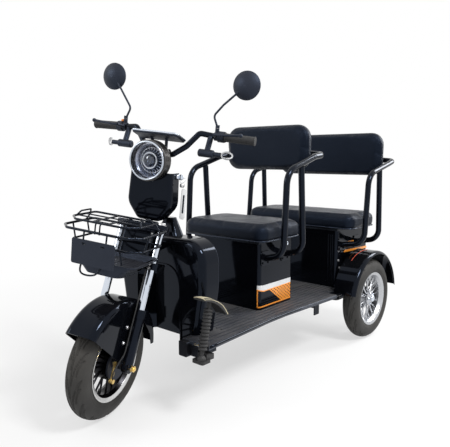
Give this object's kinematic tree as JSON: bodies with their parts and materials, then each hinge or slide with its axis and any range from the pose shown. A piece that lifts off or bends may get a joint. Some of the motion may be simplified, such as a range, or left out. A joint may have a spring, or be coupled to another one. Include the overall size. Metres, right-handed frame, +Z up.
{
  "type": "electric passenger tricycle",
  "caption": "Three-wheeled electric passenger trike with two bench seats, tubular arm rails, flat ribbed floor, leg shield, sprung front fork, wire basket, round headlamp and mirrors.",
  "frame": {"origin": "on the ground at the centre of the footprint", "axes": "+X forward, along the vehicle's length, +Y to its left, +Z up"},
  "size_m": [1.8803, 0.762, 1.3302],
  "materials": {
    "tyre_rubber": "matt black tread rubber",
    "alloy": "bright silver",
    "chrome": "polished",
    "black_gloss_plastic": "high gloss black",
    "black_paint": "gloss black",
    "black_matte_plastic": "matt black",
    "headlight_bezel": "satin silver bezel",
    "clear_lens": "clear",
    "seat_vinyl": "soft satin black vinyl",
    "grip_rubber": "matt",
    "zinc": "yellow zinc",
    "motor_metal": "cast, satin",
    "lever_alloy": "black",
    "floor_mat": "dark grey ribbed mat",
    "red_lens": "clear red",
    "mirror_glass": "polished"
  },
  "bodies": {
    "chassis": {"battery": "black_matte_plastic", "brake_pedal": "black_paint", "floor_board": "floor_mat", "frame": "black_paint", "front_arm_left": "black_paint", "front_arm_right": "black_paint", "front_backrest": "seat_vinyl", "front_seat_box": "black_paint", "inner_shield": "black_matte_plastic", "leg_shield": "black_gloss_plastic", "motor": "motor_metal", "rear_arm_left": "black_paint", "rear_arm_right": "black_paint", "rear_axle": "black_paint", "rear_backrest": "seat_vinyl", "rear_bar": "black_paint", "rear_mudguard_left": "black_gloss_plastic", "rear_mudguard_right": "black_gloss_plastic", "rear_seat_box": "black_paint", "rear_springs": "black_paint", "tail_lamps": "red_lens"},
    "steering": {"fork_yokes": "black_paint", "fork_stanchions": "chrome", "fork_legs": "black_paint", "fork_shroud": "black_gloss_plastic", "front_axle": "zinc", "brake_plate": "alloy", "brake_arm": "zinc", "brake_cable": "grip_rubber", "headlight_reflector": "headlight_bezel", "mirror_glasses": "mirror_glass", "front_mudguard": "black_gloss_plastic", "headlight": "black_gloss_plastic", "headlight_lens": "clear_lens", "nose_cover": "black_gloss_plastic", "dashboard": "black_matte_plastic", "handlebar": "black_paint", "grips": "grip_rubber", "switch_pods": "black_matte_plastic", "brake_levers": "lever_alloy", "indicators": "black_matte_plastic", "mirrors": "black_matte_plastic", "basket_wires": "black_paint", "basket_tray": "black_matte_plastic", "basket_plate": "black_matte_plastic"},
    "front_wheel": {"front_tyre": "tyre_rubber", "front_rim": "alloy"},
    "rear_wheel_left": {"rear_tyre_left": "tyre_rubber", "rear_rim_left": "alloy"},
    "rear_wheel_right": {"rear_tyre_right": "tyre_rubber", "rear_rim_right": "alloy"},
    "front_seat": {"front_cushion": "seat_vinyl", "front_seat_pan": "black_paint"},
    "rear_seat": {"rear_cushion": "seat_vinyl", "rear_seat_pan": "black_paint"}
  },
  "joints": [
    {"name": "steering", "type": "hinge", "parent": "chassis", "child": "steering", "pos_m": [0.806, 0, 0], "axis": [-0.3453, 0, 0.9385], "range_deg": [-59.5, 20.5]},
    {"name": "front_wheel_spin", "type": "hinge", "parent": "steering", "child": "front_wheel", "pos_m": [0.73474, 0.00158, 0.20661], "axis": [-0.3133, 0.9426, -0.1153], "continuous": true},
    {"name": "rear_wheel_left_spin", "type": "hinge", "parent": "chassis", "child": "rear_wheel_left", "pos_m": [-0.695, 0.322, 0.208], "axis": [0, 1, 0], "continuous": true},
    {"name": "rear_wheel_right_spin", "type": "hinge", "parent": "chassis", "child": "rear_wheel_right", "pos_m": [-0.695, -0.322, 0.208], "axis": [0, 1, 0], "continuous": true},
    {"name": "front_seat_lid", "type": "hinge", "parent": "chassis", "child": "front_seat", "pos_m": [0.077, 0, 0.575], "axis": [0, 1, 0], "range_deg": [0, 70]},
    {"name": "rear_seat_lid", "type": "hinge", "parent": "chassis", "child": "rear_seat", "pos_m": [-0.508, 0, 0.575], "axis": [0, 1, 0], "range_deg": [0, 70]}
  ]
}
